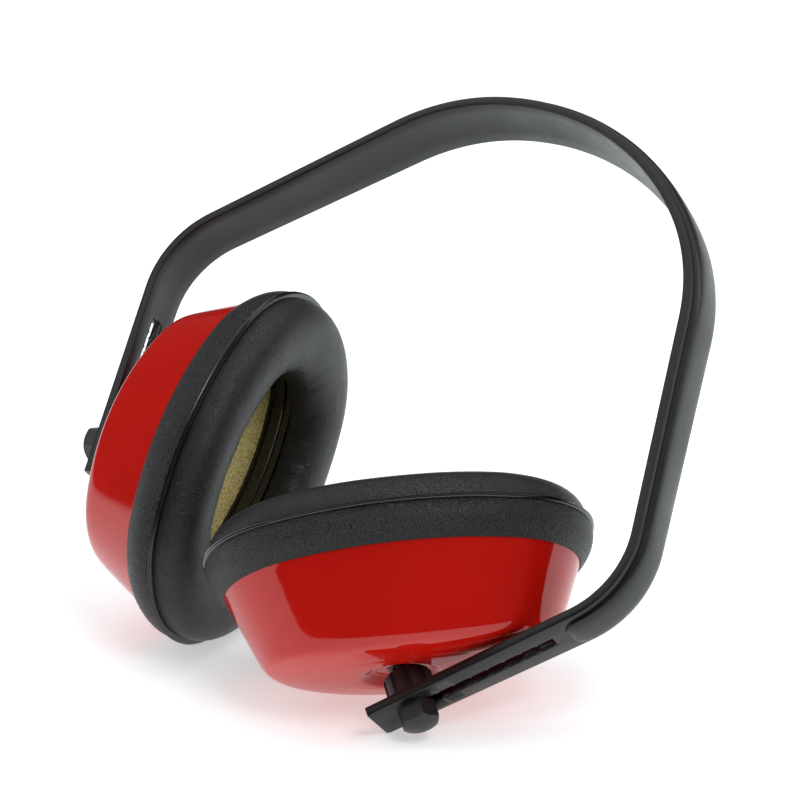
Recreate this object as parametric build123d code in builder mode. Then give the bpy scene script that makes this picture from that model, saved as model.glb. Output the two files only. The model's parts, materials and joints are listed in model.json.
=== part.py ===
from build123d import *
import os
from math import cos, pi, sin

# Earmuff hearing protector: a one-piece plastic headband whose slotted ends carry two oval cups.
# Each cup slides along its slot, spins on its stem and tilts on the stem's ball.
# Millimetres, +Z up. The muff lies on its back as it is put down on a bench, leaning on
# the left cup, the right cup and the right end of the band.

# Resting pose: where the band's apex lies and how the band is turned.
APEX_AT = (20.200, 68.384, 140.427)
REST_TURN = (-45.94, 11.21, 11.36)

# Headband: outer curve from the apex to the end of the leg.
CROWN_RADIUS = 80.3
CROWN_ANGLE = 28.0
SHOULDER_RADIUS = 62.7
SHOULDER_ANGLE = 32.0
SIDE_LENGTH = 64.0
BEND_RADIUS = 30.4
BEND_ANGLE = 57.9
LEG_LENGTH = 62.3
BAND_THICKNESS = 2.8
BAND_WIDTH_TOP = 21.8
BAND_WIDTH_LEG = 15.5
RIB_HEIGHT = 1.9
RIB_LEDGE = 2.2
RIB_PAST_BEND = 4.0
LEG_CORNER = 1.6
BAND_SOFTNESS = 0.6
RIB_NOSE = 3.4
RIB_SOFTNESS = 1.3

# Slot in each leg, with pairs of small teeth that index the stem.
STEM_FROM_END = 11.9
SLOT_WIDTH = 4.6
SLOT_TRAVEL = 40.0
TOOTH_PITCH = 5.0
TOOTH_COUNT = 8
TOOTH_RADIUS = 0.45

# Stem, collar and ball seat. The swivel centre is on the stem, inside the cup's face.
LEG_GAP = 0.1
SWIVEL_DEPTH = 17.0
NECK_RADIUS = 1.7
BALL_RADIUS = 4.0
KNOB_WIDTH = 9.4
KNOB_HEIGHT = 6.7
KNOB_DOME = 9.0
COLLAR_RADIUS = 6.8
COLLAR_HEIGHT = 7.5
COLLAR_NOTCHES = 10
COLLAR_NOTCH = 0.7
COLLAR_BEVEL = 1.2
SEAT_CLEARANCE = 0.05
WASHER_WALL = 1.2
WASHER_HOLE = 3.2
WASHER_TOP = -1.0

# Cup: ovals about the cup's axis, heights measured from the swivel centre towards the head.
CUP_RISE = 2.9
FACE_Z = -6.5
MOUTH_Z = 18.0
PLATE_Z = 27.3
SEAM_Z = 29.3
SHELL_LENGTH = 97.2
SHELL_WIDTH = 71.2
SHELL_TAPER = 22.5
SHELL_WALL = 2.4
SHELL_STEP = 0.6
SHELL_SHOULDER = 8.0
DOME_RADIUS = 170.0
DIMPLE_RADIUS = 8.0
DIMPLE_DEPTH = 2.5
DIMPLE_MOUTH = 10.8
BOSS_RADIUS = 9.5
BOSS_TOP = 6.5
RETAINER_Z = 1.0
RETAINER_CAP = 1.5
LINER_INSET = 4.0
LINER_THICKNESS = 10.0
LINER_GAP = 0.2

# Cushion: skirt, rigid plate, foam core and cover, all round the same oval.
SKIRT_LENGTH = 108.0
SKIRT_WIDTH = 78.6
SKIRT_WALL = 1.0
SKIRT_LIP = 0.5
PLATE_THICKNESS = 2.0
PLATE_OPENING_INSET = 20.0
CUSHION_THICKNESS = 12.0
CUSHION_ROLL = 20.5
CUSHION_EDGE = 8.0
COVER_WALL = 0.8

# How each cup stands at rest on its swivel: spin about the stem, then the two tilts.
REST_SPIN = {"left": 2.51, "right": 21.71}
REST_TILT_ALONG = {"left": -8.44, "right": 10.03}
REST_TILT_ACROSS = {"left": 4.94, "right": 13.24}
SIDES = {"left": -1, "right": 1}

os.makedirs("parts", exist_ok=True)


def save(builder, name):
    """Label a finished piece and write it to its own file."""
    builder.part.label = name
    export_step(builder.part, f"parts/{name}.step")


# The band's own frame: X across the head, Y from front to back, Z towards the apex.
BAND = Plane(Location(APEX_AT, REST_TURN))


def polar(angle, radius):
    """A point of a circle, the angle measured clockwise from the top."""
    return Vector(radius * sin(angle * pi / 180), radius * cos(angle * pi / 180))


def band_stations():
    """Ends of the arcs and straights of the band's outer curve, right half, in X and Z."""
    turn_1, turn_2 = CROWN_ANGLE, CROWN_ANGLE + SHOULDER_ANGLE
    turn_3 = turn_2 + BEND_ANGLE
    crown_end = polar(turn_1, CROWN_RADIUS) - Vector(0, CROWN_RADIUS)
    shoulder_end = crown_end - polar(turn_1, SHOULDER_RADIUS) + polar(turn_2, SHOULDER_RADIUS)
    side_end = shoulder_end + polar(turn_2 + 90, SIDE_LENGTH)
    bend_end = side_end - polar(turn_2, BEND_RADIUS) + polar(turn_3, BEND_RADIUS)
    leg_end = bend_end + polar(turn_3 + 90, LEG_LENGTH)
    return crown_end, shoulder_end, side_end, bend_end, leg_end, turn_3


CROWN_END, SHOULDER_END, SIDE_END, BEND_END, LEG_END, LEG_ANGLE = band_stations()


def leg_plane(side):
    """Plane on the leg's outer face at the stem: X up the leg, Z towards the head."""
    stem = LEG_END - polar(LEG_ANGLE + 90, STEM_FROM_END)
    along = polar(LEG_ANGLE - 90, 1)
    inward = polar(LEG_ANGLE + 180, 1)
    origin = BAND.from_local_coords(Vector(stem.X * side, 0, stem.Y))
    x_dir = BAND.from_local_coords(Vector(along.X * side, 0, along.Y)) - BAND.origin
    z_dir = BAND.from_local_coords(Vector(inward.X * side, 0, inward.Y)) - BAND.origin
    return Plane(origin=origin, x_dir=x_dir, z_dir=z_dir)


def swivel_plane(name):
    """Plane at the ball's centre, square to the stem."""
    return leg_plane(SIDES[name]).offset(SWIVEL_DEPTH)


def cup_plane(name):
    """Plane at the ball's centre, turned as the cup stands at rest, Z towards the head."""
    turned = (
        swivel_plane(name).location
        * Rotation(0, 0, REST_SPIN[name])
        * Rotation(0, REST_TILT_ALONG[name], 0)
        * Rotation(REST_TILT_ACROSS[name], 0, 0)
    )
    return Plane(turned)


def band_outline(offset_in, offset_out, past_bend=LEG_LENGTH):
    """Closed C between two offsets of the outer curve; past_bend is how far down the leg it runs."""
    start, end = CROWN_ANGLE, CROWN_ANGLE + SHOULDER_ANGLE

    def curve(grow):
        crown = polar(0, grow)
        points = [crown, CROWN_END + polar(start, grow), SHOULDER_END + polar(end, grow),
                  SIDE_END + polar(end, grow), BEND_END + polar(LEG_ANGLE, grow)]
        foot = points[-1] + polar(LEG_ANGLE + 90, past_bend)
        return points + [foot]

    for grow in (offset_out, -offset_in):
        p = curve(grow)
        for side in (-1, 1):
            q = [Vector(v.X * side, v.Y) for v in p]
            mids = [polar(start / 2, CROWN_RADIUS + grow) - Vector(0, CROWN_RADIUS),
                    CROWN_END - polar(start, SHOULDER_RADIUS)
                    + polar((start + end) / 2, SHOULDER_RADIUS + grow),
                    SIDE_END - polar(end, BEND_RADIUS)
                    + polar((end + LEG_ANGLE) / 2, BEND_RADIUS + grow)]
            mids = [Vector(v.X * side, v.Y) for v in mids]
            ThreePointArc(q[0], mids[0], q[1])
            ThreePointArc(q[1], mids[1], q[2])
            Line(q[2], q[3])
            ThreePointArc(q[3], mids[2], q[4])
            Line(q[4], q[5])
    outer, inner = curve(offset_out), curve(-offset_in)
    for side in (-1, 1):
        Line((outer[-1].X * side, outer[-1].Y), (inner[-1].X * side, inner[-1].Y))


def oval(length, width, grow=0):
    """Four-arc oval on the cup's axis, long way along X, grown all round by grow."""
    a, b = length / 2 + grow, width / 2 + grow
    end_radius = 0.9 * width / 2 + grow
    side_radius = ((a - end_radius) ** 2 + b**2 - end_radius**2) / (2 * (b - end_radius))
    end_centre = a - end_radius
    lift = side_radius - b
    reach = (end_centre**2 + lift**2) ** 0.5
    x = end_centre * (1 + end_radius / reach)
    y = end_radius * lift / reach
    mid = CUP_RISE
    with BuildSketch() as outline:
        with BuildLine():
            ThreePointArc((mid + x, y), (mid, b), (mid - x, y))
            ThreePointArc((mid - x, y), (mid - a, 0), (mid - x, -y))
            ThreePointArc((mid - x, -y), (mid, -b), (mid + x, -y))
            ThreePointArc((mid + x, -y), (mid + a, 0), (mid + x, y))
        make_face()
    return outline.sketch


def band_width(trim=0.0):
    """Outline of the strip seen from the side, narrowing to the legs, trimmed all along."""
    side_on = Plane(origin=BAND.origin, x_dir=BAND.y_dir, z_dir=BAND.x_dir)
    leg_middle = (BEND_END.Y + LEG_END.Y) / 2
    slope = (BAND_WIDTH_TOP - BAND_WIDTH_LEG) / 2 / leg_middle
    high, low = 10, LEG_END.Y - 10
    top, bottom = [BAND_WIDTH_TOP / 2 - trim - slope * z for z in (high, low)]
    with BuildSketch(side_on) as outline:
        Polygon((top, high), (bottom, low), (-bottom, low), (-top, high), align=None)
    return outline.sketch


def corner_at(edge, side, x):
    """Whether an edge stands square to the leg's face, this far up the leg from the stem."""
    leg = leg_plane(side)
    upright = abs((edge % 0.5).dot(leg.z_dir)) > 0.99
    return upright and abs(leg.to_local_coords(edge @ 0.5).X - x) < 0.01


def make_rib():
    """Raised rounded rib on the outer face, with a round nose on each leg."""
    front = Plane(origin=BAND.origin, x_dir=BAND.x_dir, z_dir=-BAND.y_dir)
    nose = LEG_LENGTH - STEM_FROM_END - RIB_PAST_BEND
    with BuildPart() as rib:
        with BuildSketch(front):
            with BuildLine():
                band_outline(1.0, RIB_HEIGHT, RIB_PAST_BEND)
            make_face()
        extrude(amount=BAND_WIDTH_TOP / 2, both=True)
        extrude(band_width(RIB_LEDGE), amount=200, both=True, mode=Mode.INTERSECT)
        for side in SIDES.values():
            corners = rib.edges().filter_by(lambda e: corner_at(e, side, nose))
            fillet(corners, RIB_NOSE)
        middle = BAND.from_local_coords(Vector(0, 0, -CROWN_RADIUS))
        outer = rib.faces().filter_by(
            lambda f: abs(f.normal_at().dot(BAND.y_dir)) < 0.5
            and f.normal_at().dot(f.center() - middle) > 0
            and f.area > 10 * RIB_HEIGHT
        )
        rim = outer.edges().filter_by(lambda e: abs((e % 0.5).dot(BAND.y_dir)) < 0.9)
        fillet(rim, RIB_SOFTNESS)
    return rib


def make_headband():
    """One moulding: C-shaped strip that narrows to the legs, rounded rib, slots with teeth."""
    front = Plane(origin=BAND.origin, x_dir=BAND.x_dir, z_dir=-BAND.y_dir)
    rib = make_rib()
    with BuildPart() as headband:
        with BuildSketch(front):
            with BuildLine():
                band_outline(BAND_THICKNESS, 0)
            make_face()
        extrude(amount=BAND_WIDTH_TOP / 2, both=True)
        extrude(band_width(), amount=200, both=True, mode=Mode.INTERSECT)
        for side in SIDES.values():
            tips = headband.edges().filter_by(lambda e: corner_at(e, side, -STEM_FROM_END))
            fillet(tips, LEG_CORNER)
        sides = headband.faces().filter_by(lambda f: abs(f.normal_at().dot(BAND.y_dir)) > 0.9)
        rims = sides.edges().filter_by(lambda e: e.length > 2 * BAND_THICKNESS)
        fillet(rims, BAND_SOFTNESS)
        add(rib.part)
        for side in SIDES.values():
            with BuildSketch(leg_plane(side).offset(-1)):
                with Locations((SLOT_TRAVEL / 2, 0)):
                    Rectangle(SLOT_TRAVEL + SLOT_WIDTH, SLOT_WIDTH)
                with Locations(*[(TOOTH_PITCH * (i + 0.5), SLOT_WIDTH / 2 * k)
                                 for i in range(TOOTH_COUNT) for k in (-1, 1)]):
                    Circle(TOOTH_RADIUS, mode=Mode.SUBTRACT)
            extrude(amount=BAND_THICKNESS + 2, mode=Mode.SUBTRACT)
    save(headband, "headband")


def lowest_face(builder, axis):
    """The face furthest back along an axis."""
    return builder.faces().sort_by(axis)[0]


def make_stem(name):
    """Hexagonal knob outside the leg, neck through the slot, ball inside the cup."""
    leg, swivel = leg_plane(SIDES[name]), swivel_plane(name)
    with BuildPart() as stem:
        with BuildSketch(leg.offset(-KNOB_HEIGHT - LEG_GAP)):
            RegularPolygon(KNOB_WIDTH / 2, 6, major_radius=False)
        extrude(amount=KNOB_HEIGHT)
        with Locations(leg.offset(KNOB_DOME - KNOB_HEIGHT - LEG_GAP).location):
            Sphere(KNOB_DOME, mode=Mode.INTERSECT)
        with BuildSketch(leg.offset(-LEG_GAP)):
            Circle(NECK_RADIUS)
        extrude(amount=SWIVEL_DEPTH + LEG_GAP)
        with Locations(swivel.location):
            Sphere(BALL_RADIUS)
    save(stem, f"{name}_stem")


def make_collar(name):
    """Notched spacer ring between the leg and the cup's dimple."""
    leg = leg_plane(SIDES[name])
    with BuildPart() as collar:
        with BuildSketch(leg.offset(BAND_THICKNESS + LEG_GAP)):
            Circle(COLLAR_RADIUS)
            Circle(NECK_RADIUS + SEAT_CLEARANCE, mode=Mode.SUBTRACT)
            with PolarLocations(COLLAR_RADIUS, COLLAR_NOTCHES):
                Circle(COLLAR_NOTCH, mode=Mode.SUBTRACT)
        extrude(amount=COLLAR_HEIGHT)
        with BuildSketch(leg.offset(BAND_THICKNESS + LEG_GAP)):
            Circle(COLLAR_RADIUS + COLLAR_HEIGHT - COLLAR_BEVEL)
        extrude(amount=COLLAR_HEIGHT, taper=45, mode=Mode.INTERSECT)
    save(collar, f"{name}_collar")


def make_seat_washer(name):
    """Floating ball washer: a zone of a spherical shell round the outer half of the ball."""
    swivel = swivel_plane(name)
    inner = BALL_RADIUS + SEAT_CLEARANCE
    with BuildPart() as washer:
        with Locations(swivel.location):
            Sphere(inner + WASHER_WALL)
            Sphere(inner, mode=Mode.SUBTRACT)
        split(bisect_by=swivel.offset(WASHER_TOP), keep=Keep.BOTTOM)
        with BuildSketch(swivel.offset(-SWIVEL_DEPTH)):
            Circle(WASHER_HOLE)
        extrude(amount=SWIVEL_DEPTH, mode=Mode.SUBTRACT)
    save(washer, f"{name}_ball_washer")


def bowl(cup, inset):
    """Solid oval taper with a domed, rounded face, shrunk all round by inset."""
    axis = Axis(cup.origin, cup.z_dir)
    dome = DOME_RADIUS - inset
    with BuildPart() as solid:
        with BuildSketch(cup.offset(MOUTH_Z)):
            add(oval(SHELL_LENGTH, SHELL_WIDTH, -inset))
        extrude(amount=FACE_Z + inset - MOUTH_Z, taper=SHELL_TAPER)
        with Locations(cup.location * Location((CUP_RISE, 0, FACE_Z + DOME_RADIUS))):
            Sphere(dome, rotation=(90, 0, 0), mode=Mode.INTERSECT)
        fillet(lowest_face(solid, axis).edges(), SHELL_SHOULDER - inset)
    return solid


def make_shell(name):
    """Oval tapered shell with a domed face, a dimple round the stem and a boss for the ball."""
    cup = cup_plane(name)
    socket = BALL_RADIUS + WASHER_WALL + 2 * SEAT_CLEARANCE
    outer, cavity = bowl(cup, 0), bowl(cup, SHELL_WALL)
    with BuildPart() as shell:
        add(outer.part)
        add(cavity.part, mode=Mode.SUBTRACT)
        with BuildSketch(cup.offset(MOUTH_Z)):
            add(oval(SHELL_LENGTH, SHELL_WIDTH, -SHELL_STEP))
            add(oval(SHELL_LENGTH, SHELL_WIDTH, -SHELL_WALL), mode=Mode.SUBTRACT)
        extrude(amount=PLATE_Z - MOUTH_Z)
        with BuildSketch(cup.offset(FACE_Z + 1)):
            Circle(BOSS_RADIUS)
        extrude(amount=BOSS_TOP - FACE_Z - 1)
        with Locations(cup.offset(FACE_Z).location):
            Cone(2 * DIMPLE_MOUTH - DIMPLE_RADIUS, DIMPLE_RADIUS, 2 * DIMPLE_DEPTH,
                 mode=Mode.SUBTRACT)
        with Locations(cup.location):
            Sphere(socket, mode=Mode.SUBTRACT)
        with BuildSketch(cup):
            Circle(socket)
        extrude(amount=BOSS_TOP, mode=Mode.SUBTRACT)
    save(shell, f"{name}_cup_shell")


def make_retainer(name):
    """Round cap pressed into the boss behind the ball, which keeps the ball in its seat."""
    cup = cup_plane(name)
    socket = BALL_RADIUS + WASHER_WALL + 2 * SEAT_CLEARANCE
    with BuildPart() as retainer:
        with BuildSketch(cup.offset(RETAINER_Z)):
            Circle(socket)
        extrude(amount=BOSS_TOP - RETAINER_Z)
        with BuildSketch(cup.offset(BOSS_TOP)):
            Circle(BOSS_RADIUS)
        extrude(amount=RETAINER_CAP)
        with Locations(cup.location):
            Sphere(BALL_RADIUS + SEAT_CLEARANCE, mode=Mode.SUBTRACT)
    save(retainer, f"{name}_ball_retainer")


def make_liner(name):
    """Block of open-cell foam that fills the cup behind the plate."""
    cup = cup_plane(name)
    with BuildPart() as liner:
        with BuildSketch(cup.offset(PLATE_Z - LINER_GAP)):
            add(oval(SHELL_LENGTH, SHELL_WIDTH, -LINER_INSET))
        extrude(amount=-LINER_THICKNESS)
    save(liner, f"{name}_foam_liner")


def make_plate(name):
    """Rigid oval ring that snaps over the shell's rim and carries the cushion."""
    cup = cup_plane(name)
    with BuildPart() as plate:
        with BuildSketch(cup.offset(PLATE_Z)):
            add(oval(SKIRT_LENGTH, SKIRT_WIDTH, -SKIRT_WALL))
            add(oval(SKIRT_LENGTH, SKIRT_WIDTH, -PLATE_OPENING_INSET), mode=Mode.SUBTRACT)
        extrude(amount=PLATE_THICKNESS)
    save(plate, f"{name}_cushion_plate")


def make_skirt(name):
    """Vinyl skirt from the weld seam down over the shell's rim."""
    cup = cup_plane(name)
    with BuildPart() as skirt:
        with BuildSketch(cup.offset(MOUTH_Z)):
            add(oval(SHELL_LENGTH, SHELL_WIDTH, SKIRT_LIP))
        with BuildSketch(cup.offset(SEAM_Z)):
            add(oval(SKIRT_LENGTH, SKIRT_WIDTH))
        loft()
        with BuildSketch(cup.offset(PLATE_Z)):
            add(oval(SKIRT_LENGTH, SKIRT_WIDTH, -SKIRT_WALL))
        extrude(amount=SEAM_Z - PLATE_Z, mode=Mode.SUBTRACT)
        with BuildSketch(cup.offset(MOUTH_Z)):
            add(oval(SHELL_LENGTH, SHELL_WIDTH, -SHELL_STEP))
        extrude(amount=PLATE_Z - MOUTH_Z, mode=Mode.SUBTRACT)
    save(skirt, f"{name}_cushion_skirt")


def cushion_ring(cup, inset, height, edge):
    """Oval ring of the cushion's section, shrunk all round by inset, with rounded front edges."""
    with BuildPart() as ring:
        with BuildSketch(cup.offset(SEAM_Z)):
            add(oval(SKIRT_LENGTH, SKIRT_WIDTH, -inset))
            add(oval(SKIRT_LENGTH, SKIRT_WIDTH, inset - CUSHION_ROLL), mode=Mode.SUBTRACT)
        extrude(amount=height)
        front = ring.faces().sort_by(Axis(cup.origin, cup.z_dir))[-1]
        fillet(front.edges(), edge)
    return ring


def make_cushion(name):
    """Leatherette cover, open at the back, over a ring of soft foam."""
    cup = cup_plane(name)
    outer = cushion_ring(cup, 0, CUSHION_THICKNESS, CUSHION_EDGE)
    core = cushion_ring(cup, COVER_WALL, CUSHION_THICKNESS - COVER_WALL, CUSHION_EDGE - COVER_WALL)
    with BuildPart() as cover:
        add(outer.part)
        add(core.part, mode=Mode.SUBTRACT)
    save(core, f"{name}_cushion_foam")
    save(cover, f"{name}_cushion_cover")


make_headband()
for side_name in SIDES:
    make_stem(side_name)
    make_collar(side_name)
    make_seat_washer(side_name)
    make_shell(side_name)
    make_retainer(side_name)
    make_liner(side_name)
    make_plate(side_name)
    make_skirt(side_name)
    make_cushion(side_name)
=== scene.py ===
import json
import math

import bmesh
import bpy
import numpy as np
from mathutils import Matrix, Vector, kdtree, noise


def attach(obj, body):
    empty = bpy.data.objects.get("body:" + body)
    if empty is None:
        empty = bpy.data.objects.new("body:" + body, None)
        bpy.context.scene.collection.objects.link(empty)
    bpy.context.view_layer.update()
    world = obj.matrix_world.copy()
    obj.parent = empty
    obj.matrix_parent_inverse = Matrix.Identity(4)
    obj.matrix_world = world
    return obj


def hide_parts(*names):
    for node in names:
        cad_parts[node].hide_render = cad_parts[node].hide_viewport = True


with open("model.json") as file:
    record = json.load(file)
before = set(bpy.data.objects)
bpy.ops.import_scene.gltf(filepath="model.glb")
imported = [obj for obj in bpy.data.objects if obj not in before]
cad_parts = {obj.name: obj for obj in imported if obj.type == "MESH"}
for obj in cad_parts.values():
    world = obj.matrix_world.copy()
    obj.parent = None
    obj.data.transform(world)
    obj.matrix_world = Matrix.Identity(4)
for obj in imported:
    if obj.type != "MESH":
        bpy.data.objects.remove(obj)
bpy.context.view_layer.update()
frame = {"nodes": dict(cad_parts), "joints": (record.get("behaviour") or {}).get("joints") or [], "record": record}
MM = 0.001
SIDES = ("left", "right")

# ---------------------------------------------------------------- sizes, in millimetres
# Band: outer curve from the crown to the end of a leg, and its section.
CROWN_RADIUS, CROWN_ANGLE = 80.3, 28.0
SHOULDER_RADIUS, SHOULDER_ANGLE = 62.7, 32.0
SIDE_LENGTH = 64.0
BEND_RADIUS, BEND_ANGLE = 30.4, 57.9
LEG_LENGTH = 62.3
BAND_THICKNESS = 2.8
BAND_WIDTH_TOP, BAND_WIDTH_LEG = 21.8, 15.5
RIB_HEIGHT, RIB_LEDGE, RIB_PAST_BEND = 1.9, 2.2, 4.0
STEM_FROM_END = 11.9
SLOT_WIDTH, SLOT_TRAVEL = 4.6, 40.0
TOOTH_PITCH, TOOTH_COUNT, TOOTH_RADIUS = 5.0, 8, 0.45
NUB_DEPTH = 0.42         # keeps the nubs below the knob's path

# Cup, measured from the swivel centre along the cup's axis towards the head.
SWIVEL_DEPTH = 17.0
CUP_RISE = 2.9
FACE_Z, MOUTH_Z, PLATE_Z, SEAM_Z = -6.5, 20.5, 27.3, 31.0
SHELL_LENGTH, SHELL_WIDTH = 99.2, 73.2
SHELL_TAPER, SHELL_WALL, SHELL_STEP = 22.5, 2.4, 0.6
DOME_RADIUS, SHOULDER_SOFTNESS = 170.0, 1.5
DIMPLE_RADIUS, DIMPLE_MOUTH, DIMPLE_DEPTH, NECK_HOLE = 8.0, 10.8, 2.5, 3.5
SKIRT_LENGTH, SKIRT_WIDTH, SKIRT_WALL, SKIRT_LIP = 108.0, 78.6, 1.0, 0.5
SKIRT_BULGE = 1.7
CUSHION_THICKNESS, CUSHION_ROLL = 10.3, 20.5
OPENING_LENGTH, OPENING_WIDTH = 59.0, 39.0
LINER_SINK, SLEEVE_INSET, SLEEVE_WALL = 4.5, 19.6, 1.2
SLACK, MOST_SWELL = 0.6, 1.6      # how much smaller the cover starts, and its cap
ROLL_STEPS = 56
RING_POINTS = 256


# ---------------------------------------------------------------- frames of the pieces
def joint(name):
    return next(j for j in frame["joints"] if j["name"] == name)


def mount(name):
    return next(m for m in frame["record"]["mounts"] if m["name"] == name)


def placed(origin, x_axis, z_axis):
    """Matrix that takes millimetres along the given axes to metres in the frame."""
    z = Vector(z_axis).normalized()
    y = z.cross(Vector(x_axis)).normalized()
    x = y.cross(z)
    turn = Matrix((x, y, z)).transposed().to_4x4()
    return Matrix.Translation(Vector(origin)) @ turn @ Matrix.Diagonal((MM, MM, MM, 1))


def cup_frame(side):
    tilt = joint(f"{side}_tilt_across")
    return placed(tilt["pos_m"], tilt["axis"], mount(f"{side}_ear_seal")["axis"])


def leg_frame(side):
    """Origin on the leg's outer face at the stem, X up the leg, Z towards the head."""
    spin, height = joint(f"{side}_spin"), joint(f"{side}_height")
    inward = Vector(spin["axis"])
    return placed(Vector(spin["pos_m"]) - inward * SWIVEL_DEPTH * MM, height["axis"], inward)


def polar(angle, radius):
    """A point of a circle in X and Z, the angle clockwise from the top, in degrees."""
    a = math.radians(angle)
    return Vector((radius * math.sin(a), radius * math.cos(a)))


TURN_1 = CROWN_ANGLE
TURN_2 = TURN_1 + SHOULDER_ANGLE
TURN_3 = TURN_2 + BEND_ANGLE
CROWN_END = polar(TURN_1, CROWN_RADIUS) - Vector((0, CROWN_RADIUS))
SHOULDER_END = CROWN_END - polar(TURN_1, SHOULDER_RADIUS) + polar(TURN_2, SHOULDER_RADIUS)
SIDE_END = SHOULDER_END + polar(TURN_2 + 90, SIDE_LENGTH)
BEND_END = SIDE_END - polar(TURN_2, BEND_RADIUS) + polar(TURN_3, BEND_RADIUS)
LEG_END = BEND_END + polar(TURN_3 + 90, LEG_LENGTH)


def band_frame():
    """Origin at the crown's outer face, X to the right leg, Z out of the crown."""
    left, right = leg_frame("left"), leg_frame("right")
    across = (right.translation - left.translation).normalized()
    up = (left.col[0].to_3d() + right.col[0].to_3d()).normalized()
    stem = LEG_END - polar(TURN_3 + 90, STEM_FROM_END)
    middle = (left.translation + right.translation) / 2
    return placed(middle - up * stem.y * MM, across, up)


# ---------------------------------------------------------------- mesh helpers
def finished(name, verts, faces, place, material, smooth_angle=40.0):
    """A mesh object at the origin, its points taken from millimetres into the frame."""
    mesh = bpy.data.meshes.new(name)
    mesh.from_pydata([place @ Vector(v) for v in verts], [], faces)
    work = bmesh.new()
    work.from_mesh(mesh)
    bmesh.ops.recalc_face_normals(work, faces=work.faces)
    work.to_mesh(mesh)
    work.free()
    piece = bpy.data.objects.new(name, mesh)
    bpy.context.scene.collection.objects.link(piece)
    mesh.materials.append(material)
    mesh.shade_smooth()
    if smooth_angle:
        mesh.set_sharp_from_angle(angle=math.radians(smooth_angle))
    return piece


def skin_rings(rings, close_ends=False):
    """Quads between neighbouring rings of points; the last ring joins the first unless capped."""
    count = len(rings[0])
    verts = [p for ring in rings for p in ring]
    faces = []
    spans = len(rings) - 1 if close_ends else len(rings)
    for r in range(spans):
        low, high = r * count, ((r + 1) % len(rings)) * count
        for i in range(count):
            j = (i + 1) % count
            faces.append((low + i, low + j, high + j, high + i))
    if close_ends:
        faces.append(tuple(range(count))[::-1])
        faces.append(tuple((len(rings) - 1) * count + i for i in range(count)))
    return verts, faces


def oval_points(length, width, count=RING_POINTS):
    """Points and outward normals of the four-arc oval, evenly spaced along its edge."""
    a, b = length / 2, width / 2
    end_r = 0.9 * b
    side_r = ((a - end_r) ** 2 + b * b - end_r**2) / (2 * (b - end_r))
    reach = math.hypot(a - end_r, side_r - b)
    split = math.atan2(side_r - b, a - end_r)
    end_arc, side_arc = end_r * split, side_r * (math.pi / 2 - split)
    quarter = end_arc + side_arc
    points = []
    for i in range(count):
        s = (i / count * 4 * quarter) % (4 * quarter)
        q, s = int(s // quarter), s % quarter
        s = s if q % 2 == 0 else quarter - s
        if s < end_arc:
            t = s / end_r
            x, y = a - end_r + end_r * math.cos(t), end_r * math.sin(t)
        else:
            t = split + (s - end_arc) / side_r
            x, y = side_r * math.cos(t), b - side_r + side_r * math.sin(t)
        n = Vector((math.cos(t), math.sin(t)))
        sx, sy = (1, -1, -1, 1)[q], (1, 1, -1, -1)[q]
        points.append((Vector((x * sx + CUP_RISE, y * sy)), Vector((n.x * sx, n.y * sy))))
    return points


SHELL_OVAL = oval_points(SHELL_LENGTH, SHELL_WIDTH)
SEAM_OVAL = oval_points(SKIRT_LENGTH, SKIRT_WIDTH)
OPENING_OVAL = oval_points(OPENING_LENGTH, OPENING_WIDTH)


# ---------------------------------------------------------------- materials
def shader(name, color, roughness, **extra):
    """New material with a Principled shader; constant values go on its own sockets."""
    mat = bpy.data.materials.new(name)
    mat.use_nodes = True
    tree = mat.node_tree
    surface = tree.nodes["Principled BSDF"]
    surface.inputs["Base Color"].default_value = (*color, 1)
    surface.inputs["Roughness"].default_value = roughness
    for key, value in extra.items():
        surface.inputs[key.replace("_", " ")].default_value = value
    coords = tree.nodes.new("ShaderNodeTexCoord")
    return mat, tree, surface, coords.outputs["Object"]


def texture(tree, kind, vector, **settings):
    node = tree.nodes.new(kind)
    tree.links.new(vector, node.inputs["Vector"])
    for key, value in settings.items():
        label = key.replace("_", " ")
        if label in node.inputs:
            node.inputs[label].default_value = value
        else:
            setattr(node, key, value)
    return node


def mapped(tree, value, low, high, to_low, to_high):
    node = tree.nodes.new("ShaderNodeMapRange")
    tree.links.new(value, node.inputs["Value"])
    names = ("From Min", "From Max", "To Min", "To Max")
    for label, number in zip(names, (low, high, to_low, to_high)):
        node.inputs[label].default_value = number
    return node.outputs["Result"]


def colours(tree, value, stops):
    """Colour ramp over a 0 to 1 value."""
    node = tree.nodes.new("ShaderNodeValToRGB")
    tree.links.new(value, node.inputs["Fac"])
    ramp = node.color_ramp
    while len(ramp.elements) < len(stops):
        ramp.elements.new(0.5)
    for element, (position, colour) in zip(ramp.elements, stops):
        element.position = position
        element.color = (*colour, 1)
    return node.outputs["Color"]


def bumped(tree, surface, heights):
    """Chain of bump nodes, one for each (height, distance in metres, strength)."""
    normal = None
    for height, distance, strength in heights:
        node = tree.nodes.new("ShaderNodeBump")
        node.inputs["Distance"].default_value = distance
        node.inputs["Strength"].default_value = strength
        tree.links.new(height, node.inputs["Height"])
        if normal:
            tree.links.new(normal, node.inputs["Normal"])
        normal = node.outputs["Normal"]
    tree.links.new(normal, surface.inputs["Normal"])


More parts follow.
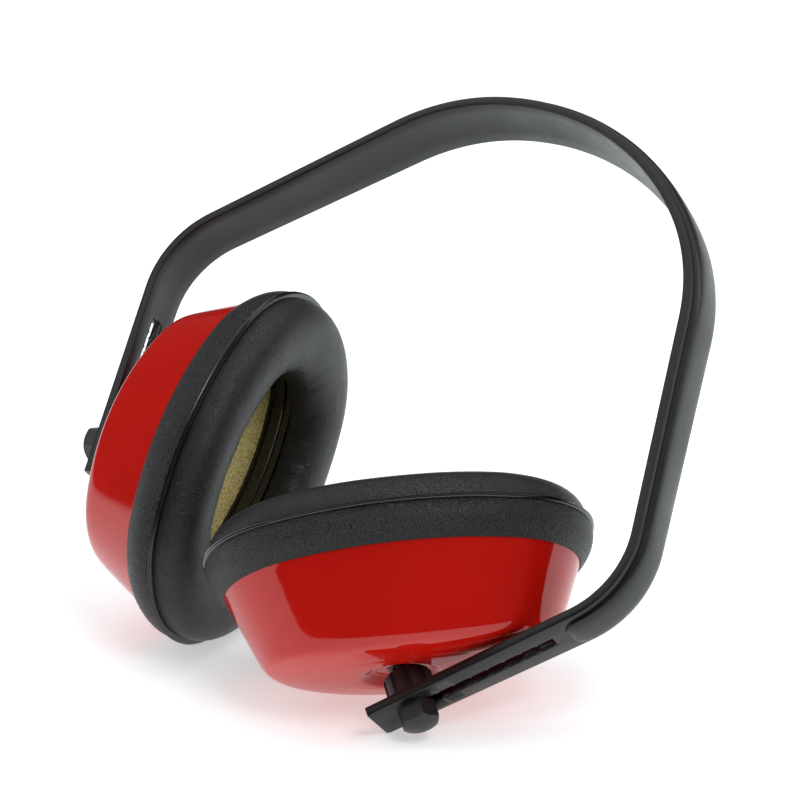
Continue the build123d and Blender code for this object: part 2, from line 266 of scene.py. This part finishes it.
def red_gloss():
    """Polished red moulding: faint flow marks, soft scuffs in the gloss, light orange peel."""
    mat, tree, surface, at = shader("polished_red", (0.55, 0.008, 0.004), 0.08,
                                    Specular_IOR_Level=0.5)
    flow = texture(tree, "ShaderNodeTexNoise", at, Scale=28.0, Detail=3.0)
    tint = colours(tree, flow.outputs["Fac"],
                   [(0.3, (0.52, 0.0055, 0.002)), (0.7, (0.58, 0.009, 0.004))])
    tree.links.new(tint, surface.inputs["Base Color"])
    scuff = texture(tree, "ShaderNodeTexNoise", at, Scale=420.0, Detail=6.0, Roughness=0.75)
    rough = mapped(tree, scuff.outputs["Fac"], 0.35, 0.75, 0.05, 0.12)
    tree.links.new(rough, surface.inputs["Roughness"])
    peel = texture(tree, "ShaderNodeTexNoise", at, Scale=260.0, Detail=1.0)
    bumped(tree, surface, [(peel.outputs["Fac"], 0.00004, 0.25)])
    return mat


def band_black():
    """Satin black nylon: fine mould grain, cloudy gloss, a few short rub marks."""
    mat, tree, surface, at = shader("satin_black", (0.006, 0.0063, 0.007), 0.36,
                                    Specular_IOR_Level=0.42)
    cloud = texture(tree, "ShaderNodeTexNoise", at, Scale=60.0, Detail=5.0, Roughness=0.6)
    rough = mapped(tree, cloud.outputs["Fac"], 0.3, 0.7, 0.30, 0.46)
    tree.links.new(rough, surface.inputs["Roughness"])
    tint = colours(tree, cloud.outputs["Fac"],
                   [(0.3, (0.005, 0.0053, 0.006)), (0.75, (0.009, 0.0093, 0.010))])
    tree.links.new(tint, surface.inputs["Base Color"])
    grain = texture(tree, "ShaderNodeTexNoise", at, Scale=2600.0, Detail=2.0)
    rub = texture(tree, "ShaderNodeTexNoise", at, Scale=500.0, Detail=4.0, Distortion=1.5)
    bumped(tree, surface, [(grain.outputs["Fac"], 0.00003, 0.5), (rub.outputs["Fac"], 0.00003, 0.3)])
    return mat


def knob_black():
    """Harder satin black of the knob, stem and collar."""
    mat, tree, surface, at = shader("knob_black", (0.010, 0.011, 0.012), 0.4)
    cloud = texture(tree, "ShaderNodeTexNoise", at, Scale=240.0, Detail=5.0, Roughness=0.65)
    rough = mapped(tree, cloud.outputs["Fac"], 0.3, 0.7, 0.32, 0.5)
    tree.links.new(rough, surface.inputs["Roughness"])
    grain = texture(tree, "ShaderNodeTexNoise", at, Scale=2200.0, Detail=3.0)
    bumped(tree, surface, [(grain.outputs["Fac"], 0.00005, 0.5)])
    return mat


def skirt_vinyl():
    """Matt vinyl with a fine raised pebble; its tops carry painted highlights as specks and its hollows painted
    shade.
    """
    mat, tree, surface, at = shader("pebble_vinyl", (0.018, 0.019, 0.021), 0.5,
                                    Specular_IOR_Level=0.5)
    pebble = texture(tree, "ShaderNodeTexVoronoi", at, Scale=2100.0, Randomness=1.0)
    blur = texture(tree, "ShaderNodeTexNoise", at, Scale=3200.0, Detail=2.0)
    # painted highlight and shade: the pebble tops are coloured lighter and the hollows darker, as light catches
    # the tops
    tint = colours(tree, pebble.outputs["Distance"],
                   [(0.0, (0.060, 0.062, 0.068)), (0.3, (0.012, 0.0125, 0.014)),
                    (0.7, (0.003, 0.0032, 0.0036))])
    tree.links.new(tint, surface.inputs["Base Color"])
    rough = mapped(tree, blur.outputs["Fac"], 0.3, 0.7, 0.26, 0.6)
    tree.links.new(rough, surface.inputs["Roughness"])
    height = mapped(tree, pebble.outputs["Distance"], 0.0, 0.7, 1.0, 0.0)
    bumped(tree, surface, [(height, 0.0004, 1.0), (blur.outputs["Fac"], 0.00015, 0.6)])
    return mat


def cover_leatherette():
    """Semi-gloss leatherette: fine grain with creases between the cells."""
    mat, tree, surface, at = shader("leatherette", (0.014, 0.0145, 0.016), 0.34,
                                    Specular_IOR_Level=0.55)
    cells = texture(tree, "ShaderNodeTexVoronoi", at, Scale=1500.0, feature="DISTANCE_TO_EDGE")
    pores = texture(tree, "ShaderNodeTexNoise", at, Scale=2400.0, Detail=4.0, Roughness=0.7)
    soft = texture(tree, "ShaderNodeTexNoise", at, Scale=90.0, Detail=3.0)
    rough = mapped(tree, soft.outputs["Fac"], 0.3, 0.7, 0.28, 0.42)
    tree.links.new(rough, surface.inputs["Roughness"])
    tint = colours(tree, pores.outputs["Fac"],
                   [(0.3, (0.004, 0.0042, 0.0047)), (0.7, (0.008, 0.0083, 0.009))])
    tree.links.new(tint, surface.inputs["Base Color"])
    crease = mapped(tree, cells.outputs["Distance"], 0.0, 0.12, 0.0, 1.0)
    bumped(tree, surface, [(crease, 0.00022, 0.8), (pores.outputs["Fac"], 0.00018, 0.7),
                           (soft.outputs["Fac"], 0.0004, 0.3)])
    return mat


def gloss_black(name, roughness):
    """Hard glossy black of the plate and the heat-sealed weld."""
    mat, tree, surface, at = shader(name, (0.008, 0.008, 0.009), roughness, Coat_Weight=0.3)
    cloud = texture(tree, "ShaderNodeTexNoise", at, Scale=300.0, Detail=4.0)
    rough = mapped(tree, cloud.outputs["Fac"], 0.3, 0.7, roughness * 0.7, roughness * 1.5)
    tree.links.new(rough, surface.inputs["Roughness"])
    bumped(tree, surface, [(cloud.outputs["Fac"], 0.00008, 0.4)])
    return mat


def foam(name, pore_shade, light):
    """Open-cell foam: pale cell walls, with painted shade darkening the pore hollows."""
    mat, tree, surface, at = shader(name, light, 0.95, Specular_IOR_Level=0.2)
    cells = texture(tree, "ShaderNodeTexVoronoi", at, Scale=1500.0)
    patch = texture(tree, "ShaderNodeTexNoise", at, Scale=900.0, Detail=5.0, Roughness=0.7)
    both = tree.nodes.new("ShaderNodeMath")
    both.operation = "MULTIPLY_ADD"
    tree.links.new(cells.outputs["Distance"], both.inputs[0])
    both.inputs[1].default_value = 0.9
    tree.links.new(patch.outputs["Fac"], both.inputs[2])
    fac = mapped(tree, both.outputs["Value"], 0.5, 1.25, 0.0, 1.0)
    # painted shade: the colour darkens into the pore hollows, where shade falls
    tint = colours(tree, fac, [(0.0, light), (0.55, tuple(0.75 * c for c in light)), (1.0, pore_shade)])
    tree.links.new(tint, surface.inputs["Base Color"])
    height = mapped(tree, fac, 0.0, 1.0, 1.0, 0.0)
    bumped(tree, surface, [(height, 0.0005, 0.8)])
    return mat


RED = red_gloss()
BLACK = band_black()
KNOB = knob_black()
PEBBLE = skirt_vinyl()
LEATHER = cover_leatherette()
GLOSS = gloss_black("plate_gloss", 0.12)
WELD = gloss_black("weld_gloss", 0.16)
# the first colour of each foam is the painted shade in its pores
YELLOW = foam("liner_foam", (0.50, 0.36, 0.07), (0.95, 0.82, 0.36))
GREY_FOAM = foam("core_foam", (0.10, 0.10, 0.10), (0.30, 0.30, 0.29))
NYLON = shader("natural_nylon", (0.62, 0.61, 0.57), 0.4)[0]


# ---------------------------------------------------------------- camera, floor and light
CAMERA_AT = Vector((0.5563, -0.5077, 0.3287))
VIEW_AZIMUTH, VIEW_DROP = -47.62, 18.77
LENS = 123.77
TABLE_FRONT = 0.36      # metres of table between the muff and its front edge


def make_stage():
    scene = bpy.context.scene
    data = bpy.data.cameras.new("view")
    data.lens, data.sensor_width = LENS, 36
    data.clip_end = 50
    camera = bpy.data.objects.new("view", data)
    scene.collection.objects.link(camera)
    camera.location = CAMERA_AT
    camera.rotation_euler = (math.radians(90 - VIEW_DROP), 0, math.radians(-VIEW_AZIMUTH))
    scene.camera = camera

    away = Vector((math.sin(math.radians(VIEW_AZIMUTH)), math.cos(math.radians(VIEW_AZIMUTH)), 0))
    bpy.ops.mesh.primitive_plane_add(size=10, location=away * (5 - TABLE_FRONT),
                                     rotation=(0, 0, math.radians(-VIEW_AZIMUTH)))
    floor = bpy.context.object
    floor.name = "floor"
    paper, _, surface, _ = shader("paper_white", (0.84, 0.92, 0.94), 0.75)
    surface.inputs["Specular IOR Level"].default_value = 0.2
    surface.inputs["Emission Color"].default_value = (1, 1, 1, 1)
    surface.inputs["Emission Strength"].default_value = 0.48
    floor.data.materials.append(paper)

    world = bpy.data.worlds.new("studio") if scene.world is None else scene.world
    scene.world = world
    world.use_nodes = True
    sky = world.node_tree.nodes["Background"]
    sky.inputs["Color"].default_value = (0.9, 0.95, 1, 1)
    sky.inputs["Strength"].default_value = 0.07

    right = away.cross(Vector((0, 0, 1)))
    boxes = (
        ("top_box", away * 0.5 + Vector((0, 0, 1.7)), 3.0, 2.6, 30),
        ("front_box", right * 0.45 - away * 0.85 + Vector((0, 0, 1.15)), 0.5, 0.5, 6),
        ("left_box", right * -1.3 - away * 0.1 + Vector((0, 0, 0.7)), 0.8, 1.0, 3.6),
        ("right_box", right * 1.35 + away * 0.25 + Vector((0, 0, 0.75)), 0.7, 1.1, 4.5),
    )
    for name, at, wide, high, power in boxes:
        light = bpy.data.lights.new(name, "AREA")
        light.shape, light.size, light.size_y = "RECTANGLE", wide, high
        light.energy = power
        lamp = bpy.data.objects.new(name, light)
        lamp.location = at
        aim = Vector((0, 0, 0.05)) + (away * 0.4 if name == "top_box" else Vector())
        lamp.rotation_euler = (aim - at).to_track_quat("-Z", "Y").to_euler()
        scene.collection.objects.link(lamp)
    scene.view_settings.view_transform = "Standard"


make_stage()

# ---------------------------------------------------------------- headband
def make_band():
    """One moulding swept along the outer curve, with its rib, and slots cut in the legs."""
    place = band_frame()
    stations = []
    runs = ((0.0, CROWN_RADIUS, TURN_1, Vector((0, -CROWN_RADIUS))),
            (TURN_1, SHOULDER_RADIUS, TURN_2, CROWN_END - polar(TURN_1, SHOULDER_RADIUS)))
    for start, radius, end, centre in runs:
        steps = 24
        for i in range(steps):
            angle = start + (end - start) * i / steps
            stations.append((centre + polar(angle, radius), angle))
    for i in range(16):
        stations.append((SHOULDER_END + polar(TURN_2 + 90, SIDE_LENGTH * i / 16), TURN_2))
    centre = SIDE_END - polar(TURN_2, BEND_RADIUS)
    for i in range(28):
        angle = TURN_2 + BEND_ANGLE * i / 28
        stations.append((centre + polar(angle, BEND_RADIUS), angle))
    leg_steps = 60
    for i in range(leg_steps + 1):
        stations.append((BEND_END + polar(TURN_3 + 90, LEG_LENGTH * i / leg_steps), TURN_3))
    half = [(p, polar(a, 1), BEND_END.y - p.y) for p, a in stations]
    mirrored = [(Vector((-p.x, p.y)), Vector((-n.x, n.y)), d) for p, n, d in reversed(half[1:])]
    rings = []
    fade = 5.0
    down = -polar(TURN_3 + 90, 1).y
    for p, n, below in mirrored + half:
        t = p.y / (BEND_END.y + LEG_END.y) * 2
        w = (BAND_WIDTH_TOP + (BAND_WIDTH_LEG - BAND_WIDTH_TOP) * t) / 2
        past = below / down
        live = 1.0 - min(1.0, max(0.0, (past - (RIB_PAST_BEND - fade)) / fade))
        live = math.sqrt(max(0.0, 1 - (1 - live) ** 2))
        rib = (w - RIB_LEDGE) * (0.35 + 0.65 * live)
        section = [(-w + 0.5, -BAND_THICKNESS), (-w * 0.5, -BAND_THICKNESS + 0.45 * (1 - t * 0.6)),
                   (0, -BAND_THICKNESS + 0.6 * (1 - t * 0.6)),
                   (w * 0.5, -BAND_THICKNESS + 0.45 * (1 - t * 0.6)), (w - 0.5, -BAND_THICKNESS)]
        section += [(w - 0.15, -BAND_THICKNESS + 0.15), (w, -BAND_THICKNESS + 0.5),
                    (w, -0.5), (w - 0.15, -0.15), (w - 0.5, 0), (rib + 0.4, 0.0)]
        arch = 12
        for k in range(arch + 1):
            a = math.pi * k / arch
            y = rib * math.copysign(abs(math.cos(a)) ** 0.7, math.cos(a))
            section.append((y, RIB_HEIGHT * live * math.sin(a) ** 0.6))
        section += [(-rib - 0.4, 0.0), (-w + 0.5, 0), (-w + 0.15, -0.15), (-w, -0.5),
                    (-w, -BAND_THICKNESS + 0.5), (-w + 0.15, -BAND_THICKNESS + 0.15)]
        rings.append([Vector((p.x + n.x * h, y, p.y + n.y * h)) for y, h in section])
    verts, faces = skin_rings(rings, close_ends=True)
    band = finished("headband_moulding", verts, faces, place, BLACK, smooth_angle=35)
    for side in SIDES:
        cut = slot_cutter(side)
        carve = band.modifiers.new("slot", "BOOLEAN")
        carve.operation, carve.solver, carve.object = "DIFFERENCE", "EXACT", cut
        bake(band)
        bpy.data.objects.remove(cut)
    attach(band, "headband")
    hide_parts("headband")


def bake(piece):
    """Turns a piece's modifiers into its plain mesh."""
    graph = bpy.context.evaluated_depsgraph_get()
    graph.update()
    mesh = bpy.data.meshes.new_from_object(piece.evaluated_get(graph))
    piece.modifiers.clear()
    old = piece.data
    piece.data = mesh
    bpy.data.meshes.remove(old)


def slot_cutter(side):
    """Prism through the leg with a square-ended slot outline and paired round teeth."""
    half = SLOT_WIDTH / 2
    outline = []

    def edge(sign, order):
        run = []
        for i in order:
            x = TOOTH_PITCH * (i + 0.5)
            for k in range(7):
                a = math.pi * k / 6
                run.append((x - TOOTH_RADIUS * math.cos(a), sign * (half - TOOTH_RADIUS * math.sin(a))))
        return run

    low, high = -half, SLOT_TRAVEL + half
    outline = [(low, -half)] + edge(-1, range(TOOTH_COUNT)) + [(high, -half), (high, half)]
    outline += edge(1, range(TOOTH_COUNT))[::-1] + [(low, half)]
    rings = [[Vector((x, y, z)) for x, y in outline] for z in (-3, BAND_THICKNESS + 3)]
    verts, faces = skin_rings(rings, close_ends=True)
    return finished(f"{side}_slot_cutter", verts, faces, leg_frame(side), BLACK, smooth_angle=0)


make_band()

# ---------------------------------------------------------------- index nubs beside the slots
def nub_tree():
    """Node tree: two rows of small rounded nubs, one row on each side of the slot."""
    tree = bpy.data.node_groups.new("index_nubs", "GeometryNodeTree")
    tree.interface.new_socket("Geometry", in_out="OUTPUT", socket_type="NodeSocketGeometry")
    sockets = {}
    for name, kind in (("Count", "NodeSocketInt"), ("Pitch", "NodeSocketFloat"),
                       ("First", "NodeSocketFloat"), ("Half Gap", "NodeSocketFloat"),
                       ("Radius", "NodeSocketFloat"), ("Material", "NodeSocketMaterial")):
        sockets[name] = tree.interface.new_socket(name, in_out="INPUT", socket_type=kind).identifier
    given = tree.nodes.new("NodeGroupInput")
    result = tree.nodes.new("NodeGroupOutput")
    nub = tree.nodes.new("GeometryNodeMeshUVSphere")
    nub.inputs["Segments"].default_value = 16
    nub.inputs["Rings"].default_value = 10
    tree.links.new(given.outputs["Radius"], nub.inputs["Radius"])
    join = tree.nodes.new("GeometryNodeJoinGeometry")
    for sign in (-1, 1):
        pitch = tree.nodes.new("ShaderNodeCombineXYZ")
        tree.links.new(given.outputs["Pitch"], pitch.inputs["X"])
        start = tree.nodes.new("ShaderNodeCombineXYZ")
        gap = tree.nodes.new("ShaderNodeMath")
        gap.operation = "MULTIPLY"
        tree.links.new(given.outputs["Half Gap"], gap.inputs[0])
        gap.inputs[1].default_value = sign
        tree.links.new(given.outputs["First"], start.inputs["X"])
        tree.links.new(gap.outputs["Value"], start.inputs["Y"])
        line = tree.nodes.new("GeometryNodeMeshLine")
        tree.links.new(given.outputs["Count"], line.inputs["Count"])
        tree.links.new(start.outputs["Vector"], line.inputs["Start Location"])
        tree.links.new(pitch.outputs["Vector"], line.inputs["Offset"])
        scatter = tree.nodes.new("GeometryNodeInstanceOnPoints")
        scatter.inputs["Scale"].default_value = (1.0, 1.0, 0.7)
        tree.links.new(line.outputs["Mesh"], scatter.inputs["Points"])
        tree.links.new(nub.outputs["Mesh"], scatter.inputs["Instance"])
        tree.links.new(scatter.outputs["Instances"], join.inputs["Geometry"])
    real = tree.nodes.new("GeometryNodeRealizeInstances")
    paint = tree.nodes.new("GeometryNodeSetMaterial")
    tree.links.new(join.outputs["Geometry"], real.inputs["Geometry"])
    tree.links.new(real.outputs["Geometry"], paint.inputs["Geometry"])
    tree.links.new(given.outputs["Material"], paint.inputs["Material"])
    tree.links.new(paint.outputs["Geometry"], result.inputs["Geometry"])
    return tree, sockets


def make_nubs(side, tree, sockets):
    nubs = bpy.data.objects.new(f"{side}_index_nubs", bpy.data.meshes.new(f"{side}_index_nubs"))
    bpy.context.scene.collection.objects.link(nubs)
    rows = nubs.modifiers.new("rows", "NODES")
    rows.node_group = tree
    sizes = {"Count": TOOTH_COUNT, "Pitch": TOOTH_PITCH, "First": TOOTH_PITCH / 2,
             "Half Gap": SLOT_WIDTH / 2 + 0.15, "Radius": 0.5, "Material": BLACK}
    for name, value in sizes.items():
        rows[sockets[name]] = value
    bake(nubs)
    nubs.data.transform(leg_frame(side) @ Matrix.Translation((0, 0, NUB_DEPTH)))
    nubs.data.shade_smooth()
    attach(nubs, "headband")


NUBS = nub_tree()
for side in SIDES:
    make_nubs(side, *NUBS)

# ---------------------------------------------------------------- cup shells
def dome(x, y):
    return FACE_Z + ((x - CUP_RISE) ** 2 + y * y) / (2 * DOME_RADIUS)


def shell_skin(inset):
    """Rings of the shell's skin from the rim to the neck hole, shrunk by inset."""
    slope = math.tan(math.radians(SHELL_TAPER))
    rings = []
    for z in (PLATE_Z, PLATE_Z - 0.3, MOUTH_Z + 0.3, MOUTH_Z):
        grow = -inset - SHELL_STEP if not inset else -inset
        rings.append([(*(p + n * grow), z) for p, n in SHELL_OVAL])
    grows = [-0.4 * i for i in range(0, 55)]
    for grow in grows:
        ring = []
        for p, n in SHELL_OVAL:
            q = p + n * (grow - inset)
            cone = MOUTH_Z + grow / slope
            top = dome(q.x, q.y) + inset
            z = (cone + top + math.sqrt((cone - top) ** 2 + 4 * SHOULDER_SOFTNESS**2)) / 2
            ring.append((q.x, q.y, min(z, MOUTH_Z)))
        rings.append(ring)
    last = rings[-1]
    wide = DIMPLE_MOUTH + 3.0
    for step in range(1, 25):
        t = step / 24
        ring = []
        for (x, y, z), (_, n) in zip(last, SHELL_OVAL):
            q = Vector((x, y)).lerp(n * wide, t)
            level = dome(q.x, q.y) + inset
            ring.append((q.x, q.y, level + (z - dome(x, y) - inset) * (1 - t) ** 2))
        rings.append(ring)
    slope = DIMPLE_DEPTH / (DIMPLE_MOUTH - DIMPLE_RADIUS)
    for k in range(1, 25):
        radius = wide + (DIMPLE_RADIUS - 1.0 - wide) * k / 24
        fall = slope * (DIMPLE_MOUTH - radius)
        fall = (fall + math.sqrt(fall**2 + 0.5)) / 2
        fall = DIMPLE_DEPTH - ((DIMPLE_DEPTH - fall) + math.sqrt((DIMPLE_DEPTH - fall) ** 2 + 0.1)) / 2
        rings.append([(*(n * radius), dome(*(n * radius)) + inset + max(0.0, fall)) for _, n in SHELL_OVAL])
    for radius in (6.5, 5.0, NECK_HOLE + 0.2, NECK_HOLE):
        level = FACE_Z + inset + DIMPLE_DEPTH + (0.2 if radius == NECK_HOLE and not inset else 0.05)
        rings.append([(*(n * radius), level) for _, n in SHELL_OVAL])
    return rings


def make_shell(side):
    rings = shell_skin(0) + shell_skin(SHELL_WALL)[::-1]
    verts, faces = skin_rings(rings)
    shell = finished(f"{side}_shell", verts, faces, cup_frame(side), RED, smooth_angle=50)
    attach(shell, f"{side}_cup_body")
    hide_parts(f"{side}_cup_shell")


# ---------------------------------------------------------------- skirts and welds
def make_skirt(side):
    """Vinyl skirt, slightly bulged, from its lip on the shell to the weld."""
    rings = []
    steps = 28

    def ring(t, out, lift=0.0):
        row = []
        for (p, n), (q, m) in zip(SHELL_OVAL, SEAM_OVAL):
            bulge = SKIRT_BULGE * math.sin(math.pi * t) ** 0.8 if 0 < t < 1 else 0
            at = (p + n * SKIRT_LIP).lerp(q, t) + m * (bulge + out)
            row.append((at.x, at.y, MOUTH_Z + (SEAM_Z - MOUTH_Z) * t + lift))
        return row

    rings.append(ring(0.0, -0.9, 0.25))
    rings.append(ring(0.0, -0.45, -0.15))
    rings.append(ring(0.0, -0.1, -0.1))
    rings += [ring(k / steps, 0.0) for k in range(steps + 1)]
    rings += [ring(k / steps, -SKIRT_WALL) for k in range(steps, 1, -1)]
    verts, faces = skin_rings(rings)
    skirt = finished(f"{side}_skirt", verts, faces, cup_frame(side), PEBBLE, smooth_angle=60)
    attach(skirt, f"{side}_cup_body")
    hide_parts(f"{side}_cushion_skirt")


def make_weld(side):
    """Thin heat-sealed flange between skirt and roll, with a groove round its edge."""
    section = ((-1.6, -0.7), (-0.2, -0.8), (0.5, -0.66), (0.8, -0.4), (0.68, -0.1), (0.4, 0.0),
               (0.68, 0.12), (0.78, 0.42), (0.5, 0.68), (-0.2, 0.8), (-1.6, 0.7))
    rings = []
    for out, up in section:
        row = []
        for i, (p, n) in enumerate(SEAM_OVAL):
            a = 2 * math.pi * i / RING_POINTS
            wave = noise.noise(Vector((3 * math.cos(a), 3 * math.sin(a), len(side)))) * 0.25
            q = p + n * (out + 0.1 + 0.5 * wave)
            row.append((q.x, q.y, SEAM_Z + up + wave * 0.6))
        rings.append(row)
    verts, faces = skin_rings(rings)
    weld = finished(f"{side}_weld", verts, faces, cup_frame(side), WELD, smooth_angle=60)
    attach(weld, f"{side}_cup_body")


# ---------------------------------------------------------------- cushions
def roll_section(shrink):
    """Section of the roll from its outer foot over the crest: (inset from the seam, height)."""
    high, wide = CUSHION_THICKNESS - shrink, CUSHION_ROLL - 2 * shrink
    points = []
    for k in range(ROLL_STEPS):
        a = math.pi * (1.06 - 1.12 * k / (ROLL_STEPS - 1))
        c, rise = math.cos(a), math.sin(a)
        x = CUSHION_ROLL / 2 + wide / 2 * math.copysign(abs(c) ** 0.85, c)
        points.append((x, high * math.copysign(abs(rise) ** 0.8, rise)))
    return points


def roll_rings(shrink):
    """Rings from the seam to the opening, the section stretched between the two ovals."""
    return [[Vector((*p.lerp(q, inset / CUSHION_ROLL), SEAM_Z + max(up, -1.4)))
             for (p, _), (q, _) in zip(SEAM_OVAL, OPENING_OVAL)]
            for inset, up in roll_section(shrink)]


def swelling():
    """Where a slightly slack roll starts and how far air pressure in the cloth pushes it."""
    verts, faces = skin_rings([ring[::4] for ring in roll_rings(SLACK)])
    pad = finished("swelling_roll", verts, faces, Matrix.Diagonal((MM, MM, MM, 1)), LEATHER, 0)
    remesh = pad.modifiers.new("even", "REMESH")
    remesh.mode, remesh.voxel_size = "VOXEL", 0.004
    bake(pad)
    start = np.empty(len(pad.data.vertices) * 3)
    pad.data.vertices.foreach_get("co", start)
    pins = pad.vertex_groups.new(name="foot")
    low = [v.index for v in pad.data.vertices if v.co.z < (SEAM_Z + 0.6) * MM]
    pins.add(low, 1.0, "REPLACE")
    cloth = pad.modifiers.new("air", "CLOTH")
    cloth.settings.use_pressure = True
    cloth.settings.uniform_pressure_force = 4.0
    cloth.settings.vertex_group_mass = "foot"
    cloth.settings.tension_stiffness = cloth.settings.compression_stiffness = 12
    cloth.settings.effector_weights.gravity = 0
    scene = bpy.context.scene
    for step in range(1, 21):
        scene.frame_set(step)
    bake(pad)
    end = np.empty(len(pad.data.vertices) * 3)
    pad.data.vertices.foreach_get("co", end)
    scene.frame_set(1)
    bpy.data.objects.remove(pad)
    start, move = start.reshape(-1, 3) / MM, (end - start).reshape(-1, 3) / MM
    length = np.linalg.norm(move, axis=1, keepdims=True)
    move *= np.minimum(1.0, MOST_SWELL / np.maximum(length, 1e-6))
    tree = kdtree.KDTree(len(start))
    for i, co in enumerate(start):
        tree.insert(co, i)
    tree.balance()
    return tree, move


def swollen(point, swell):
    """A point moved as the cloth near it moved."""
    if swell is None:
        return point
    tree, move = swell
    near = tree.find_n(point, 6)
    weights = np.array([1 / (dist**2 + 0.5) for _, _, dist in near])
    shift = (weights[:, None] * move[[i for _, i, _ in near]]).sum(0) / weights.sum()
    return point + Vector(shift)


def wrinkle(angle, along, seed):
    """How far the cover lies in or out: deep short creases inside, soft waves over the crest."""
    ring = Vector((math.cos(angle), math.sin(angle), 0))
    inner = max(0.0, min(1.0, (along - 0.55) / 0.25)) * max(0.0, min(1.0, (1.0 - along) / 0.08))
    crest = math.sin(math.pi * min(1.0, max(0.0, along)))
    where = ring * 7.5 + Vector((seed, 0, along * 1.6))
    crease = noise.noise(where) + 0.5 * noise.noise(where * 2.3)
    fold = -abs(noise.noise(ring * 4.0 + Vector((0, seed, along * 4)))) ** 0.5
    broad = noise.noise(ring * 2.2 + Vector((seed, 5, along * 2)))
    return inner * (0.34 * crease + 0.30 * (fold + 0.45)) + crest * 0.18 * broad


def make_cushion(side, swell):
    """Fat roll of leatherette over foam, swollen by a short cloth simulation and creased."""
    rings = [[swollen(point, swell) for point in ring] for ring in roll_rings(SLACK)]
    seed = 3.7 if side == "left" else 9.1
    centre = [Vector((*p.lerp(q, 0.5), SEAM_Z + 2.0))
              for (p, _), (q, _) in zip(SEAM_OVAL, OPENING_OVAL)]
    creased = []
    for k, ring in enumerate(rings):
        row = []
        for i, point in enumerate(ring):
            out = (point - centre[i]).normalized()
            size = wrinkle(2 * math.pi * i / RING_POINTS, k / (ROLL_STEPS - 1), seed)
            row.append(point + out * size)
        creased.append(row)
    verts, faces = skin_rings(creased)
    roll = finished(f"{side}_cushion", verts, faces, cup_frame(side), LEATHER, smooth_angle=0)
    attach(roll, f"{side}_cup_body")
    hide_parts(f"{side}_cushion_cover", f"{side}_cushion_foam")


def make_liner(side):
    """Foam block whose front is rough, with a light broad waviness."""
    rings = []
    top = PLATE_Z - LINER_SINK
    inset = 9.0
    low = top - 9
    rings.append([(*(p - n * inset), low) for p, n in SHELL_OVAL])
    rings.append([(*(p - n * inset), top - 0.8) for p, n in SHELL_OVAL])
    last = [p - n * inset for p, n in SHELL_OVAL]
    steps = 56
    centre = Vector((CUP_RISE, 0))
    for k in range(steps):
        t = k / steps
        row = []
        for q in last:
            at = q.lerp(centre, t)
            rough = noise.noise(Vector((at.x, at.y, 0.3)) * 1.4) * 0.22
            rough += noise.noise(Vector((at.x, at.y, 7.3)) * 0.25) * 0.3
            row.append((at.x, at.y, top - 0.6 + rough))
        rings.append(row)
    verts, faces = skin_rings(rings, close_ends=True)
    liner = finished(f"{side}_liner", verts, faces, cup_frame(side), YELLOW, smooth_angle=0)
    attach(liner, f"{side}_cup_body")
    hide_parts(f"{side}_foam_liner")


def make_sleeve(side):
    """Glossy sleeve from the plate's opening down to the foam, with a rolled lip at each end."""
    low, high = PLATE_Z - LINER_SINK - 0.5, PLATE_Z - 0.05
    section = [(0.0, low), (0.0, high), (0.5, high), (SLEEVE_WALL, high - 0.4),
               (SLEEVE_WALL, low + 1.2), (SLEEVE_WALL + 0.8, low + 0.9), (SLEEVE_WALL + 0.8, low)]
    rings = [[(*(p - n * (SLEEVE_INSET + inset)), z) for p, n in SEAM_OVAL] for inset, z in section]
    verts, faces = skin_rings(rings)
    sleeve = finished(f"{side}_sleeve", verts, faces, cup_frame(side), GLOSS, smooth_angle=40)
    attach(sleeve, f"{side}_cup_body")


SWELL = swelling()
for side in SIDES:
    make_shell(side)
    make_skirt(side)
    make_weld(side)
    make_cushion(side, SWELL)
    make_liner(side)
    make_sleeve(side)

# ---------------------------------------------------------------- carried-over pieces
CARRIED = {"stem": KNOB, "collar": KNOB, "ball_washer": KNOB, "ball_retainer": NYLON,
           "cushion_plate": GLOSS}
for side in SIDES:
    for part, material in CARRIED.items():
        node = frame["nodes"][f"{side}_{part}"]
        node.data.materials.clear()
        node.data.materials.append(material)
